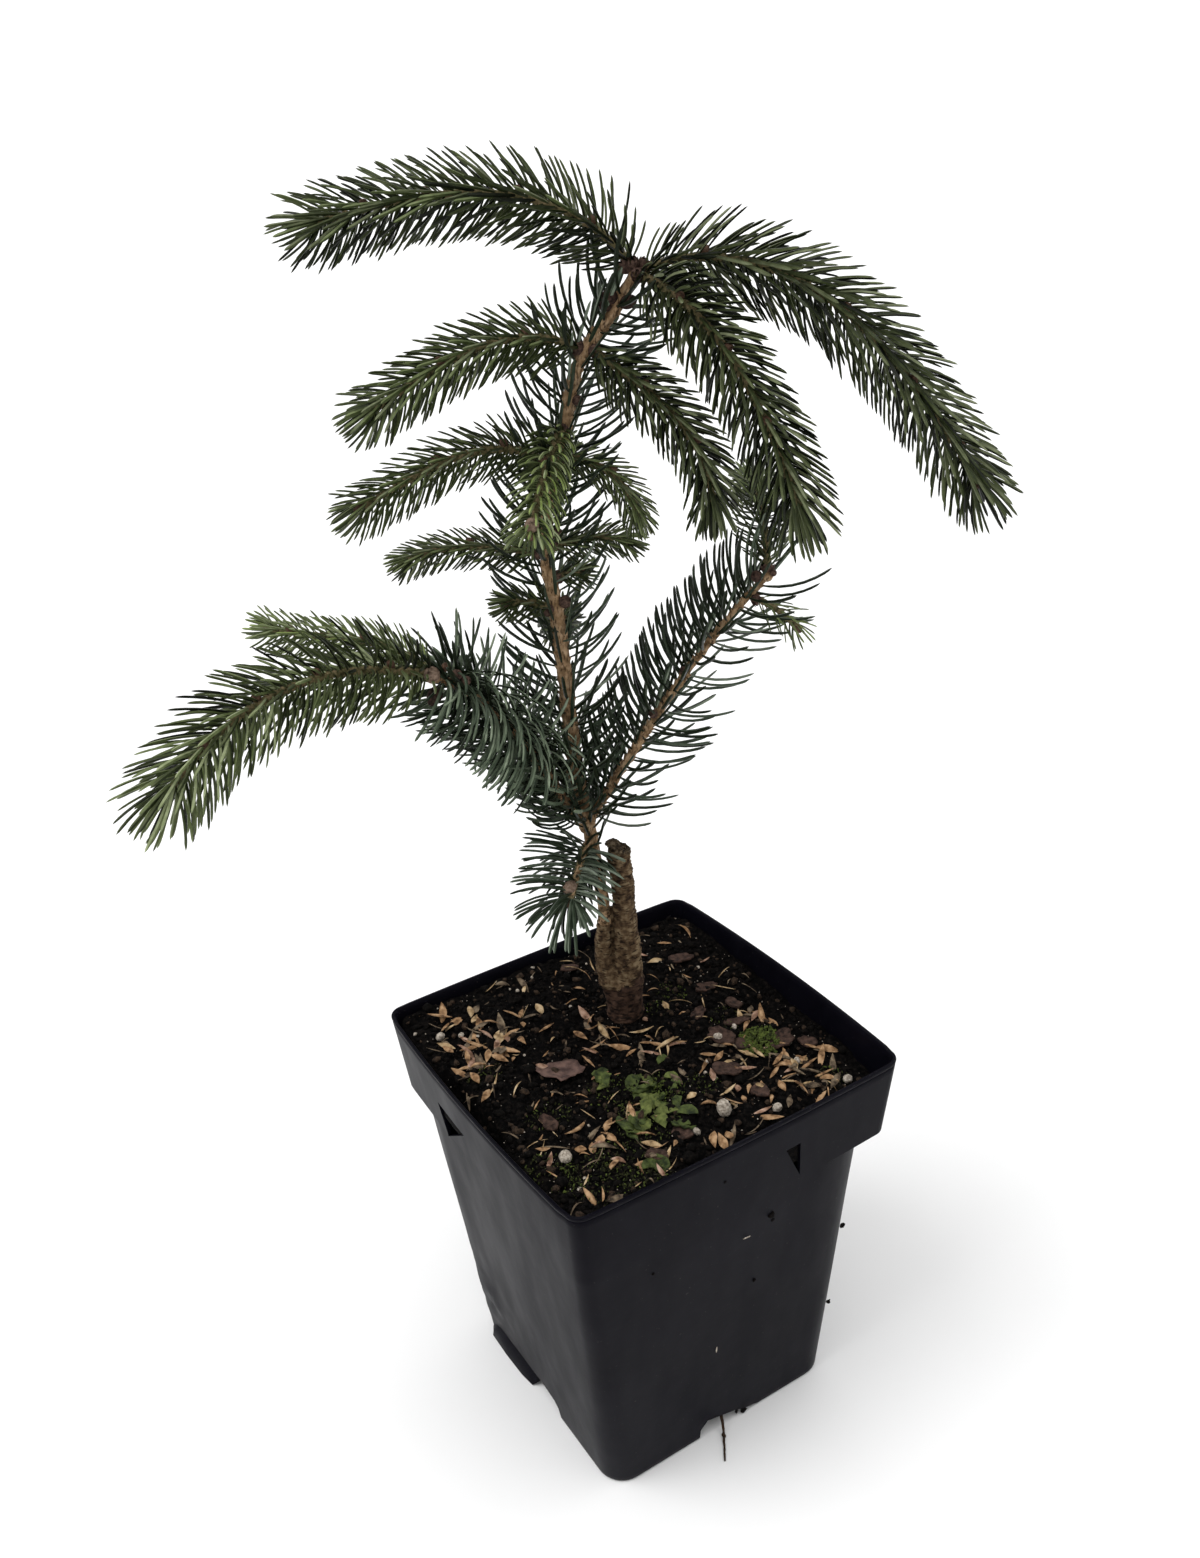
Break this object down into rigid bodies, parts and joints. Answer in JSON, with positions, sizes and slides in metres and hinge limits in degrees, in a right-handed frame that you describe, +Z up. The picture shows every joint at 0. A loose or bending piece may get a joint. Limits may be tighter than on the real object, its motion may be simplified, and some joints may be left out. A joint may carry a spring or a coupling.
{
  "type": "potted weeping white spruce",
  "caption": "Young grafted weeping white spruce with a slender swaying stem and arching, needle-clad shoots, standing in a tapered square black nursery pot.",
  "frame": {"origin": "centre of the pot's flat underside", "axes": "+Z up; the pot's sides face along X and Y; its stepped corners lie towards +X+Y and -X-Y"},
  "size_m": [0.1283, 0.211, 0.3683],
  "materials": {
    "pot_plastic": "satin black moulded plastic with fine scratches and soil specks",
    "potting_soil": "dark crumbly potting mix with pale husks, perlite and moss",
    "old_bark": "rough grey-brown bark with a green algae tint",
    "stem_bark": "tan-brown twig bark, ridged by needle bases",
    "new_needles": "satin fresh green needles",
    "old_needles": "satin blue-green needles with a waxy bloom"
  },
  "bodies": {
    "root": {"pot": "pot_plastic", "soil": "potting_soil", "trunk": "stem_bark", "cut_stub": "old_bark", "right_bough": "stem_bark", "left_bough": "stem_bark", "top_left_shoot": "new_needles", "top_right_shoot": "new_needles", "top_front_shoot": "new_needles", "upper_right_shoot": "new_needles", "upper_left_shoot": "new_needles", "middle_front_shoot": "new_needles", "middle_right_shoot": "new_needles", "middle_left_shoot": "new_needles", "back_upper_shoot": "new_needles", "lower_right_shoot": "new_needles", "lower_left_shoot": "new_needles", "back_lower_shoot": "new_needles", "right_tuft": "new_needles", "left_tuft": "new_needles", "bough_right_shoot": "new_needles", "bough_right_tuft": "new_needles", "bough_left_shoot": "new_needles", "bough_left_side_shoot": "new_needles", "collar_tuft": "old_needles", "stem_needles_low": "old_needles", "stem_needles_middle": "old_needles", "stem_needles_high": "old_needles", "stem_needles_top": "old_needles", "right_bough_needles": "old_needles", "left_bough_needles": "old_needles"}
  },
  "joints": []
}
